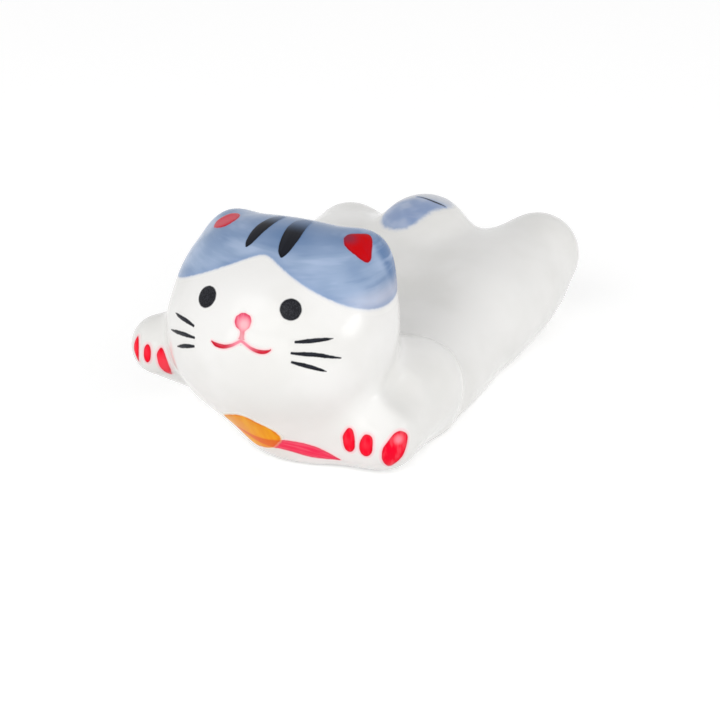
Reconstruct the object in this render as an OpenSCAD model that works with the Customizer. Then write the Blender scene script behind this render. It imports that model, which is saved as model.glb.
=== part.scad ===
// Chopstick rest in the shape of a cat that lies on its belly with one paw raised.
// It is a hollow porcelain casting, and its painting is enamel fired onto the glaze.
// The cat faces -Y and its own left is +X. It stands on z = 0, and the origin is on
// the table under its waist. Lengths are in millimetres and angles in degrees.

/* [Head] */
// Half width of the head across the cheeks
head_half_w = 12.6; // [11.8:0.1:13.4]
// Half length of the head, from nose to nape
head_half_l = 10.9; // [10.2:0.1:11.6]
// Half height of the head
head_half_h = 10.6; // [10.1:0.1:11.4]
// Distance of the middle of the head in front of the origin
head_forward = 12; // [11:0.1:13]
// Height of the middle of the head
head_z = 13.4; // [12.8:0.1:14.2]
// Radius of the rounding along the top of the head
brow_r = 6.4; // [5.8:0.1:6.8]
// Distance of each end of that rounding from the middle
brow_x = 4.7; // [4:0.1:5.4]
// Radius of an ear's tip
ear_r = 2.65; // [2.3:0.05:3]
// Distance of an ear's tip inside the widest point of the head
ear_inset = 5; // [4.4:0.1:5.6]

/* [Body] */
// Half width of the chest
chest_half_w = 9.9; // [9.2:0.1:10.8]
// Half length of the chest
chest_half_l = 9.6; // [9:0.1:10.4]
// Distance that the chest leans to the cat's left
chest_lean = 3.5; // [2.5:0.1:4]
// Half width of the waist
waist_half_w = 13.1; // [12.4:0.1:14]
// Height of the back in the saddle where the chopsticks lie
saddle_h = 8.9; // [8.2:0.1:9.6]
// Half width of the hips
hip_half_w = 16.7; // [15.7:0.1:17.5]
// Height of the hips
hip_h = 12.1; // [11.2:0.1:12.8]
// Distance of the middle of the hips behind the origin
hip_back = 24.6; // [23.6:0.1:25.6]
// Half width of the tail
tail_half_w = 5.7; // [4.8:0.1:6]
// Height of the top of the tail
tail_h = 14.8; // [14:0.1:15.8]

/* [Legs] */
// Radius of the left hind foot
left_foot_r = 4.4; // [4.1:0.1:4.9]
// Radius of the right hind foot
right_foot_r = 4; // [3.6:0.1:4.6]
// Distance of the hind feet behind the origin
foot_back = 32.7; // [31.7:0.1:33.7]
// Radius of the left front paw, which rests on the table
left_paw_r = 4; // [3.8:0.1:4.4]
// Radius of the right front paw, which is raised
right_paw_r = 3.3; // [3:0.1:3.7]
// Height of the middle of the raised paw
raised_paw_z = 9.8; // [9.2:0.1:10.6]

/* [Porcelain] */
// Thickness of the cast wall
wall = 2.2; // [2:0.1:2.6]
// Diameter of the vent through the base
vent_d = 4; // [3:0.1:5]

/* [Enamel] */
// Thickness of one coat of enamel
coat = 0.12; // [0.1:0.01:0.2]
// Diameter of an eye
eye_d = 2.3; // [1.8:0.1:2.6]
// Distance of an eye from the middle
eye_x = 4.7; // [4:0.1:5.2]
// Diameter of the nose
nose_d = 1.9; // [1.5:0.1:2.2]
// Half width of the mouth
mouth_half_w = 3.4; // [2.8:0.1:4]
// Width of a whisker at its thickest
whisker_w = 0.45; // [0.3:0.05:0.6]
// Diameter of the bell
bell_d = 5.2; // [4.6:0.1:5.6]
// Width of the collar at its widest
collar_w = 1.2; // [0.9:0.1:1.5]

/* [Hidden] */

up = [0, 0, 1];

// Head: the skull is an egg, the brow a bar across its top, the ears two small eggs
head_l = 2 * head_half_l;
head_h = 2 * head_half_h;
skull_at = [0, -head_forward, head_z];
skull_r = [head_half_w, head_half_l, head_half_h];
brow_back = 2.2;
brow_rise = 4.7;
brow_at = skull_at + [0, brow_back, brow_rise];
brow_end = [brow_x, 0, 0];
ear_back = 4.3;
ear_rise = 7.4;
ear_x = head_half_w - ear_inset;
ear_at = skull_at + [ear_x, ear_back, ear_rise];
ear_shares = [1, 1.05, 1.2];
brow_fillet = 3;
ear_fillet = 2;
neck_fillet = 5;

// Trunk: chest, waist, hips and tail are eggs
chest_back = 4.6;
chest_z = 3.5;
chest_half_h = 6.2;
chest_at = [chest_lean, chest_back - head_forward, chest_z];
waist_y = 8;
waist_half_l = 18;
waist_half_h = 5.7;
waist_at = [0, waist_y, saddle_h - waist_half_h];
hip_half_l = 11.1;
hip_half_h = 7.2;
hip_at = [0, hip_back, hip_h - hip_half_h];
tail_gap = 2.5;
tail_half_l = 6.7;
tail_half_h = 5.7;
tail_at = [0, hip_back + tail_gap, tail_h - tail_half_h];
trunk_fillet = 5;
hip_fillet = 4;
tail_fillet = 1.7;

// Hind legs: thigh, calf, foot and sole, with distances inside the waist and the hips
thigh_inset = 4.5;
calf_inset = 6.3;
left_foot_inset = 4.3;
right_foot_inset = 4.8;
thigh_y = -0.5;
thigh_z = 1;
calf_y = 18.5;
left_calf_z = 5;
right_calf_z = 4.4;
left_foot_z = 7.8;
right_foot_z = 5.7;
left_thigh_r = 6.1;
right_thigh_r = 5.6;
left_calf_r = 5.8;
right_calf_r = 5.2;
sole_r_share = 1.03;
calf_fillet = 2;
left_sole_from_foot = [-0.5, -1.9, -2.2];
right_sole_from_foot = [0.5, -1.9, -1.2];
left_thigh_at = [waist_half_w - thigh_inset, thigh_y, thigh_z];
right_thigh_at = [thigh_inset - waist_half_w, thigh_y, thigh_z];
left_calf_at = [hip_half_w - calf_inset, calf_y, left_calf_z];
right_calf_at = [calf_inset - hip_half_w, calf_y, right_calf_z];
left_foot_at = [hip_half_w - left_foot_inset, foot_back, left_foot_z];
right_foot_at = [right_foot_inset - hip_half_w, foot_back, right_foot_z];

// Left foreleg: one limb to the paw on the table
left_shoulder_at = [11.9, -2.7, 5.7];
left_shoulder_r = 4.6;
left_paw_at = [12.2, -12.8, 4.3];
left_foreleg_fillet = 3.5;

// Right foreleg: one limb up to the raised paw
right_shoulder_at = [-11.7, -0.5, 3.7];
right_shoulder_r = 5.1;
right_paw_at = [-13.7, -13.3, raised_paw_z];
right_foreleg_fillet = 2.5;

// Shallow dimple over the left paw, between the foreleg and the cheek
dimple_at = [14, -11.7, 8.7];
dimple_depth = 0.8;
dimple_r = 3.5;

// Hollow and vent
hollow_fillet = 1.5;
vent_y = 10;
overrun = 1;

// Spacing of the net of points over the skin, and over the hollow's wall
skin_step = 1.6;
hollow_step = 2.6;
// Step for measuring a slope
slope_step = 0.02;
// Gap between a coat and the glaze, which keeps its facets apart from the casting's
bed = 0.1;
// Lift of a stroke that is painted over another coat
over_coat = coat + bed;
// Angle between the tip of a dab of the brush and its first row of points
dab_end_turn = 15;
fine = 48;

// Marks on the face, as distances from the middle of the head
eye_rise = 6.2;
nose_rise = 4.9;
nose_end = 0.15;
philtrum_w = 0.5;
cusp_rise = 2.9;
mouth_drop = 0.9;
mouth_turn = 145;
mouth_w = 0.55;
mouth_thin_share = 0.4;
mouth_gap = 0.5;

// Whiskers of one side: rise of the root, of the tip, and distance of the tip
whisker_root_x = 5.5;
whisker_root_rises = [3.3, 2.2, 1.2];
whisker_tip_rises = [3.3, 1.3, 0.1];
whisker_tip_xs = [9, 9.7, 8.6];

// Cap: hem as angles above the middle of the head, at the front, side and back
hem_front_rise = 68;
hem_side_rise = 22;
hem_back_rise = 28;
hem_side_turn = 100;
hem_power = 1.3;
cap_rings = 14;
cap_spokes = 64;
// Distance from the middle of the head at which the search for the cap's points starts
cap_reach = 20;

// Strokes over the cap, as places seen from above
stripe_x = 2.3;
stripe_front = 3.4;
stripe_l = 6.6;
stripe_w = 1.5;
stripe_lean_share = 0.4;
stripe_swell_share = 0.3;
ear_mark_l = 4.1;
ear_mark_w = 2.6;
ear_mark_out = 0.6;
ear_mark_back = 2;
ear_mark_swell_share = 0.3;

// Toes, as distances from the middle of the paw
toe_xs = [-2.5, -0.3, 2.4];
toe_rises = [0.1, 0.1, -0.3];
toe_ls = [2.8, 2.6, 4.2];
toe_ws = [1.15, 1.4, 2.1];
toe_lean_shares = [0, 0, 0.45];
toe_swell_share = -0.2;
raised_toe_share = 0.86;

// Collar and bell, as distances from the middle of the chest
bell_x = -3.7;
bell_rise = 0.75;
collar_from_x = -6.2;
collar_to_x = 4.6;
collar_rise = 0.9;
collar_slope_share = -0.4;
collar_end_share = 0.2;
collar_end_turn = 10;

// Marks on the tail, as distances from its middle
patch_x = -0.3;
patch_back = -1.6;
patch_l = 8;
patch_w = 5.6;
patch_turn = 35;
tail_stripe_x = 1.1;
tail_stripe_back = 0.2;
tail_stripe_l = 3.4;
tail_stripe_w = 0.45;

// Distance from a point to an egg, right near its surface
function egg(p, middle, r) =
    let (q = p - middle,
         a = norm([q.x / r.x, q.y / r.y, q.z / r.z]),
         b = norm([q.x / r.x / r.x, q.y / r.y / r.y, q.z / r.z / r.z]))
    b == 0 ? -min(r) : a * (a - 1) / b;

// Distance from a point to a limb with round ends
function limb(p, from, to, from_r, to_r) =
    let (along = to - from,
         t = max(0, min(1, (p - from) * along / (along * along))))
    norm(p - from - t * along) - from_r - (to_r - from_r) * t;

// Join two surfaces with a fillet
function join(a, b, fillet) = min(a, b) - pow(max(fillet - abs(a - b), 0), 2) / (4 * fillet);

function head(p) =
    let (skull = egg(p, skull_at, skull_r),
         brow = limb(p, brow_at - brow_end, brow_at + brow_end, brow_r, brow_r),
         ears = egg([abs(p.x), p.y, p.z], ear_at, ear_r * ear_shares))
    join(join(skull, brow, brow_fillet), ears, ear_fillet);

function trunk(p) =
    let (chest = egg(p, chest_at, [chest_half_w, chest_half_l, chest_half_h]),
         waist = egg(p, waist_at, [waist_half_w, waist_half_l, waist_half_h]),
         hips = egg(p, hip_at, [hip_half_w, hip_half_l, hip_half_h]))
    join(join(chest, waist, trunk_fillet), hips, hip_fillet);

// Hind leg through the middles and the radii of its thigh, calf and foot
function hind_leg(p, at, r, sole_from_foot) =
    join(join(limb(p, at[0], at[1], r[0], r[1]), limb(p, at[1], at[2], r[1], r[2]), calf_fillet),
         limb(p, at[2], at[2] + sole_from_foot, r[2], r[2] * sole_r_share), calf_fillet);

function hind_legs(p) =
    join(hind_leg(p, [left_thigh_at, left_calf_at, left_foot_at],
                  [left_thigh_r, left_calf_r, left_foot_r], left_sole_from_foot),
         hind_leg(p, [right_thigh_at, right_calf_at, right_foot_at],
                  [right_thigh_r, right_calf_r, right_foot_r], right_sole_from_foot), hip_fillet);

function tail(p) = egg(p, tail_at, [tail_half_w, tail_half_l, tail_half_h]);

function left_foreleg(p) = limb(p, left_shoulder_at, left_paw_at, left_shoulder_r, left_paw_r);

function right_foreleg(p) =
    limb(p, right_shoulder_at, right_paw_at, right_shoulder_r, right_paw_r);

function dimple(p) =
    let (away = norm(p - dimple_at) / dimple_r) dimple_depth * pow(max(1 - away * away, 0), 2);

// Distance from a point to the outside of the porcelain, negative inside it
function skin(p) =
    let (back = join(join(trunk(p), hind_legs(p), hip_fillet), tail(p), tail_fillet),
         cat = join(head(p), back, neck_fillet))
    join(join(cat, left_foreleg(p), left_foreleg_fillet), right_foreleg(p), right_foreleg_fillet)
    + dimple(p);

// Distance from a point to the hollow's wall, negative in the hollow. It fills the head
// and trunk, has a flat floor, and leaves the legs and the tail solid.
function hollow(p) =
    -join(-join(head(p), trunk(p), neck_fillet) - wall, p.z - wall, hollow_fillet);

// Uphill direction of a distance function f at p, where its value is v
function slope(f, p, v) =
    [for (axis = [[1, 0, 0], [0, 1, 0], [0, 0, 1]]) f(p + axis * slope_step) - v] / slope_step;

// Move p onto the surface where f is zero
function settle(f, p, rounds = 3) =
    rounds == 0 ? p
    : let (v = f(p), up = slope(f, p, v)) settle(f, p - up * v / (up * up), rounds - 1);

// Point at a height above the skin, and the direction out of the skin
function outward(p) = let (up = slope(function (q) skin(q), p, skin(p))) up / norm(up);
function above(p, height) =
    let (q = settle(function (s) skin(s), p)) q + outward(q) * height;

// Closed net of triangles over the surface where f is zero, inside a box. It has one
// point in each cell that the surface crosses, and a square round each crossed edge.
module net(f, low, high, step) {
    cells = [for (a = [0:2]) ceil((high[a] - low[a]) / step)];
    value = [for (i = [0:cells.x]) [for (j = [0:cells.y]) [for (k = [0:cells.z])
        f(low + step * [i, j, k])]]];
    inside = [for (plane = value) [for (line = plane) [for (v = line) v < 0 ? 1 : 0]]];
    pairs = [for (plane = inside) [for (j = [0:cells.y - 1]) plane[j] + plane[j + 1]]];
    crossed = [for (i = [0:cells.x - 1]) for (j = [0:cells.y - 1])
        let (column = pairs[i][j] + pairs[i + 1][j])
        for (k = [0:cells.z - 1])
            let (corners = column[k] + column[k + 1]) corners > 0 && corners < 8 ? 1 : 0];
    number = [for (i = 0, n = 0; i < len(crossed); n = n + crossed[i], i = i + 1) n];
    edges = [for (x = [0, 1]) for (y = [0, 1]) for (z = [0, 1]) for (axis = [0:2])
        if ([x, y, z][axis] == 0) [[x, y, z], [for (a = [0:2]) a == axis ? 1 : 0]]];
    function cell(i, j, k) = (i * cells.y + j) * cells.z + k;
    function at(i, j, k) = number[cell(i, j, k)];
    function facing(square, side) =
        side == 1 ? square : [square[3], square[2], square[1], square[0]];
    function middle(points) = [for (p = points) 1] * points / len(points);
    points = [for (i = [0:cells.x - 1]) for (j = [0:cells.y - 1]) for (k = [0:cells.z - 1])
        if (crossed[cell(i, j, k)] == 1)
            let (crossings = [for (edge = edges)
                let (a = [i, j, k] + edge[0],
                     b = a + edge[1],
                     from = value[a.x][a.y][a.z],
                     to = value[b.x][b.y][b.z])
                if ((from < 0) != (to < 0)) a + edge[1] * from / (from - to)])
            settle(f, low + step * middle(crossings), 2)];
    squares = [for (i = [1:cells.x - 1]) for (j = [1:cells.y - 1]) for (k = [1:cells.z - 1])
        let (here = inside[i][j][k])
        each [
            if (here != inside[i + 1][j][k])
                facing([at(i, j, k), at(i, j, k - 1), at(i, j - 1, k - 1), at(i, j - 1, k)], here),
            if (here != inside[i][j + 1][k])
                facing([at(i, j, k), at(i - 1, j, k), at(i - 1, j, k - 1), at(i, j, k - 1)], here),
            if (here != inside[i][j][k + 1])
                facing([at(i, j, k), at(i, j - 1, k), at(i - 1, j - 1, k), at(i - 1, j, k)], here)
        ]];
    polyhedron(points, [for (s = squares)
        each norm(points[s[0]] - points[s[2]]) < norm(points[s[1]] - points[s[3]])
            ? [[s[0], s[1], s[2]], [s[0], s[2], s[3]]]
            : [[s[0], s[1], s[3]], [s[1], s[2], s[3]]]]);
}

// Closed coat of enamel over a grid of places on the skin
module enamel(grid, lift = 0) {
    rows = len(grid);
    columns = len(grid[0]);
    sheet = rows * columns;
    low = [for (row = grid) for (p = row) above(p, bed + lift)];
    high = [for (row = grid) for (p = row) above(p, bed + lift + coat)];
    rim = concat(
        [for (j = [0:columns - 1]) j],
        [for (i = [1:rows - 1]) i * columns + columns - 1],
        [for (j = [columns - 2:-1:0]) (rows - 1) * columns + j],
        [for (i = [rows - 2:-1:1]) i * columns]);
    polyhedron(concat(low, high), concat(
        [for (i = [0:rows - 2]) for (j = [0:columns - 2])
            let (a = i * columns + j, b = a + columns)
            each [[a, a + 1, b + 1], [a, b + 1, b],
                  [sheet + a, sheet + b + 1, sheet + a + 1], [sheet + a, sheet + b, sheet + b + 1]]],
        [for (i = [0:len(rim) - 1]) let (a = rim[i], b = rim[(i + 1) % len(rim)])
            each [[a, sheet + a, sheet + b], [a, sheet + b, b]]]));
}

// Point of the skin straight behind a place seen from the front, or below one seen from above
function reach(p, way, rounds = 30) =
    rounds == 0 ? p : reach(p + way * skin(p), way, rounds - 1);
function seen_from_front(x, z) = reach([x, skull_at.y - head_l, z], [0, 1, 0]);
function seen_from_above(x, y) = reach([x, y, skull_at.z + head_h], -up);

// Grid of a dab of the brush: an oval on the skin whose length runs along a direction
function dab(middle, direction, length, width, swell = 0, rows = 7, columns = 5) =
    let (n = outward(middle),
         flat = direction - n * (direction * n),
         t = flat / norm(flat),
         s = cross(n, t))
    [for (i = [0:rows - 1])
        let (turn = dab_end_turn + (180 - 2 * dab_end_turn) * i / (rows - 1))
        [for (j = [0:columns - 1])
            middle - t * cos(turn) / cos(dab_end_turn) * length / 2
            + s * sin(turn) * (1 - swell * cos(turn)) * width * (j / (columns - 1) - 0.5)]];

// Grid of a ribbon of the brush along a path, with a width at each point
function ribbon(path, widths, columns = 3) =
    [for (i = [0:len(path) - 1])
        let (ahead = path[min(i + 1, len(path) - 1)] - path[max(i - 1, 0)],
             s = cross(outward(path[i]), ahead / norm(ahead)))
        [for (j = [0:columns - 1]) path[i] + s * widths[i] * (j / (columns - 1) - 0.5)]];

module porcelain_body() {
    spare = 2 * skin_step;
    half_w = spare + max(hip_half_w, left_foot_at.x + left_foot_r, right_shoulder_r - right_paw_at.x);
    front = skull_at.y - head_half_l - spare;
    rear = foot_back + left_foot_r + spare;
    top = max(brow_at.z + brow_r, skull_at.z + head_half_h) + spare;
    bottom = thigh_z - left_thigh_r - spare;
    floor_z = wall - 2 * hollow_step;
    color("whitesmoke") difference() {
        net(function (p) skin(p), [-half_w, front, bottom], [half_w, rear, top], skin_step);
        net(function (p) hollow(p), [-half_w, front, floor_z], [half_w, rear, top], hollow_step);
        translate([0, vent_y, -overrun]) cylinder(d = vent_d, h = 2 * wall + overrun, $fn = fine);
        translate([-half_w, front, bottom]) cube([2 * half_w, rear - front, -bottom]);
    }
}

// Angle of the cap's hem above the middle of the head, at a turn from the front
function hem(turn) =
    let (t = abs(turn),
         front_share = pow((1 + cos(180 * min(t / hem_side_turn, 1))) / 2, hem_power),
         back_turn = 180 * max(t - hem_side_turn, 0) / (180 - hem_side_turn),
         back_share = (1 - cos(back_turn)) / 2)
    hem_side_rise + (hem_front_rise - hem_side_rise) * front_share
    + (hem_back_rise - hem_side_rise) * back_share;

// Grey cap over the ears and the back of the head, as rings of points round the crown
module grey_cap() {
    crown = reach(skull_at + up * cap_reach, -up);
    rings = [for (i = [1:cap_rings]) for (j = [0:cap_spokes - 1])
        let (turn = 360 * j / cap_spokes - 180,
             rise = 90 - (90 - hem(turn)) * i / cap_rings,
             way = [sin(turn) * cos(rise), -cos(turn) * cos(rise), sin(rise)])
        reach(skull_at + way * cap_reach, -way)];
    places = concat([crown], rings);
    sheet = len(places);
    function at(i, j) = 1 + i * cap_spokes + j % cap_spokes;
    low = [for (p = places) above(p, bed)];
    high = [for (p = places) above(p, bed + coat)];
    color("lightsteelblue") polyhedron(concat(low, high), [for (j = [0:cap_spokes - 1])
        each concat(
            [[0, at(0, j), at(0, j + 1)], [sheet, sheet + at(0, j + 1), sheet + at(0, j)]],
            [for (i = [0:cap_rings - 2])
                let (a = at(i, j), b = at(i, j + 1), c = at(i + 1, j), d = at(i + 1, j + 1))
                each [[a, c, d], [a, d, b],
                      [sheet + a, sheet + d, sheet + c], [sheet + a, sheet + b, sheet + d]]],
            let (a = at(cap_rings - 1, j), b = at(cap_rings - 1, j + 1))
                [[a, sheet + a, sheet + b], [a, sheet + b, b]])]);
}

// Stripe over the brow on one side: side is 1 for the cat's left, -1 for its right
module stripe(side) {
    middle = seen_from_above(side * stripe_x, skull_at.y - stripe_front + stripe_l / 2);
    way = [side * -stripe_lean_share, 1, 0];
    color("black") enamel(dab(middle, way, stripe_l, stripe_w, stripe_swell_share), over_coat);
}

module ear_inside(side) {
    middle = seen_from_above(side * (ear_x + ear_mark_out), skull_at.y + ear_mark_back);
    way = [side, -1, 0];
    color("crimson") enamel(dab(middle, way, ear_mark_l, ear_mark_w, ear_mark_swell_share), over_coat);
}

module eye(side) {
    middle = seen_from_front(side * eye_x, skull_at.z + eye_rise);
    color("black") enamel(dab(middle, up, eye_d, eye_d));
}

module nose() {
    top = nose_rise + nose_d / 2;
    bottom = cusp_rise + mouth_gap;
    steps = 8;
    rises = [for (i = [0:steps]) top - nose_end + (bottom - top) * i / steps];
    path = [for (rise = rises) seen_from_front(0, skull_at.z + rise)];
    widths = [for (rise = rises)
        max(philtrum_w, 2 * sqrt(max(0, pow(nose_d / 2, 2) - pow(rise - nose_rise, 2))))];
    color("palevioletred") enamel(ribbon(path, widths));
}

module mouth() {
    steps = 16;
    path = [for (i = [0:steps])
        let (x = mouth_half_w * (2 * i / steps - 1),
             drop = mouth_drop * sin(mouth_turn * abs(x) / mouth_half_w))
        seen_from_front(x, skull_at.z + cusp_rise - drop)];
    widths = [for (i = [0:steps])
        mouth_w * (mouth_thin_share + (1 - mouth_thin_share) * abs(sin(360 * i / steps)))];
    color("crimson") enamel(ribbon(path, widths));
}

module whisker(side, row) {
    root = seen_from_front(side * whisker_root_x, skull_at.z + whisker_root_rises[row]);
    tip = seen_from_front(side * whisker_tip_xs[row], skull_at.z + whisker_tip_rises[row]);
    middle = above((root + tip) / 2, 0);
    color("black") enamel(dab(middle, tip - root, norm(tip - root), whisker_w, 0, 9, 3));
}

module toe(side, row) {
    paw = side > 0 ? left_paw_at : right_paw_at;
    share = side > 0 ? 1 : raised_toe_share;
    middle = seen_from_front(paw.x + side * toe_xs[row] * share, paw.z + toe_rises[row] * share);
    way = [side * toe_lean_shares[row], 0, 1];
    color("crimson") enamel(
        dab(middle, way, toe_ls[row] * share, toe_ws[row] * share, toe_swell_share));
}

module collar() {
    steps = 14;
    path = [for (i = [0:steps])
        let (x = chest_at.x + collar_from_x + (collar_to_x - collar_from_x) * i / steps)
        seen_from_front(x, chest_at.z + collar_rise + collar_slope_share * x)];
    widths = [for (i = [0:steps])
        let (turn = collar_end_turn + (180 - 2 * collar_end_turn) * i / steps)
        collar_w * (collar_end_share + (1 - collar_end_share) * sqrt(sin(turn)))];
    color("crimson") enamel(ribbon(path, widths));
}

module bell() {
    middle = seen_from_front(chest_at.x + bell_x, chest_at.z + bell_rise);
    color("orange") enamel(dab(middle, up, bell_d, bell_d, 0, 9, 9), over_coat);
}

module tail_patch() {
    middle = seen_from_above(tail_at.x + patch_x, tail_at.y + patch_back);
    color("lightsteelblue") enamel(
        dab(middle, [sin(patch_turn), cos(patch_turn), 0], patch_l, patch_w, 0, 9, 9));
}

module tail_stripe() {
    middle = seen_from_above(tail_at.x + tail_stripe_x, tail_at.y + tail_stripe_back);
    color("black") enamel(
        dab(middle, [1, 0, 0], tail_stripe_l, tail_stripe_w, 0, 7, 3), over_coat);
}

porcelain_body();
grey_cap();
stripe(1);  // left_stripe
stripe(-1);  // right_stripe
ear_inside(1);  // left_ear_inside
ear_inside(-1);  // right_ear_inside
eye(1);  // left_eye
eye(-1);  // right_eye
nose();
mouth();
whisker(1, 0);  // left_whisker_upper
whisker(1, 1);  // left_whisker_middle
whisker(1, 2);  // left_whisker_lower
whisker(-1, 0);  // right_whisker_upper
whisker(-1, 1);  // right_whisker_middle
whisker(-1, 2);  // right_whisker_lower
toe(1, 0);  // left_toe_inner
toe(1, 1);  // left_toe_middle
toe(1, 2);  // left_toe_outer
toe(-1, 0);  // right_toe_inner
toe(-1, 1);  // right_toe_middle
toe(-1, 2);  // right_toe_outer
collar();
bell();
tail_patch();
tail_stripe();
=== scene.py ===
"""Looks of a porcelain chopstick rest in the shape of a lying cat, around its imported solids.

The clay is one glazed casting, and every brush stroke is a thin coat of enamel fired onto
the glaze. Lengths in the classes are millimetres, and the meshes are in metres.
"""

import logging
import math
from collections.abc import Callable, Sequence
from dataclasses import dataclass, field, replace
from enum import Enum

import bmesh
import bpy
import numpy as np
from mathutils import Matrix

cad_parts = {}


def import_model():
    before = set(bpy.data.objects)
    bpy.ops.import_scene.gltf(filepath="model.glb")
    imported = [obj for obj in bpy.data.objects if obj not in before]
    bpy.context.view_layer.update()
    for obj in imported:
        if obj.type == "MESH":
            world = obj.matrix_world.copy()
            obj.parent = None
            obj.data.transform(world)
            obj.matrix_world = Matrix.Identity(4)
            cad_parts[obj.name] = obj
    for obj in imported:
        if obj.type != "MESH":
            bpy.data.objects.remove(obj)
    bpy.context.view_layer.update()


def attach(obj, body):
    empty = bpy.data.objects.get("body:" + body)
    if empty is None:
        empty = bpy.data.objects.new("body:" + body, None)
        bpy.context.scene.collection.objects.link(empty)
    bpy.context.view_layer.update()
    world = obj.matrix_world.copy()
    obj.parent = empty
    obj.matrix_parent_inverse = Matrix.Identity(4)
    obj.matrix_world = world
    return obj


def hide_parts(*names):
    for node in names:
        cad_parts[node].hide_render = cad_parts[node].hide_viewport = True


LOG = logging.getLogger("chopstick_rest")
MM = 0.001
BODY = "root"
WHITE = (1.0, 1.0, 1.0, 1.0)
UP = (0.0, 0.0, 1.0)
SLOPE_STEP = 0.02
TINY = 1e-9
CURVE_STEPS = 40
# In front of the face and throat, from where strokes are laid on them
FRONT = -22.0
# What is kept at each point of a mesh: the place in the stroke, the way out of the glaze, the
# height over it, whether the clay is bare, and how far inside the stroke beneath it is
BRUSH = "brush"
OUTWARD = "outward"
RISE = "rise"
BARE = "bare"
UNDER = "under"

Array = np.ndarray
Socket = bpy.types.NodeSocket
Point = tuple[float, float, float]
Place = tuple[float, float]
Ball = tuple[float, float, float, float]
Distance = Callable[[Array], Array]


def egg(p: Array, middle: Point, radii: Point) -> Array:
    """Distance from points to an egg, right near its surface.

    Args:
        p: Points, one a row.
        middle: Middle of the egg.
        radii: Half sizes along x, y and z.

    Returns:
        Distances, negative inside.
    """
    q = (p - np.array(middle)) / np.array(radii)
    a = np.linalg.norm(q, axis=1)
    b = np.linalg.norm(q / np.array(radii), axis=1)
    return a * (a - 1) / np.maximum(b, TINY)


def limb(p: Array, start: Point, end: Point, start_r: float, end_r: float) -> Array:
    """Distance from points to a limb with round ends.

    Args:
        p: Points, one a row.
        start: Middle of the first end.
        end: Middle of the other end.
        start_r: Radius of the first end.
        end_r: Radius of the other end.

    Returns:
        Distances, negative inside.
    """
    along = np.array(end) - np.array(start)
    t = np.clip((p - np.array(start)) @ along / (along @ along), 0, 1)
    away = np.linalg.norm(p - np.array(start) - t[:, None] * along, axis=1)
    return away - start_r - (end_r - start_r) * t


def join(a: Array, b: Array, fillet: float) -> Array:
    """Join two surfaces with a fillet between them."""
    return np.minimum(a, b) - np.maximum(fillet - np.abs(a - b), 0) ** 2 / (4 * fillet)


def cut(a: Array, b: Array, rounding: float) -> Array:
    """Keep what is inside both surfaces, with a rounded edge between them."""
    return -join(-a, -b, rounding)


def unit(v: Array) -> Array:
    """Rows of v, each with length 1."""
    return v / np.maximum(np.linalg.norm(v, axis=-1, keepdims=True), TINY)


def slope(of: Distance, p: Array) -> Array:
    """Uphill direction of a distance at each point, with its steepness."""
    steps = np.eye(3) * SLOPE_STEP
    return np.stack([of(p + s) - of(p - s) for s in steps], 1) / (2 * SLOPE_STEP)


def settle(of: Distance, p: Array, rounds: int = 3) -> Array:
    """Move points onto the surface where a distance is zero."""
    for _ in range(rounds):
        up = slope(of, p)
        p = p - up * (of(p) / np.maximum((up * up).sum(1), TINY))[:, None]
    return p


def reach(of: Distance, p: Array, way: Array, rounds: int = 60) -> Array:
    """Move points along a direction until they meet the surface."""
    for _ in range(rounds):
        p = p + way * of(p)[:, None]
    return p


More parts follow.
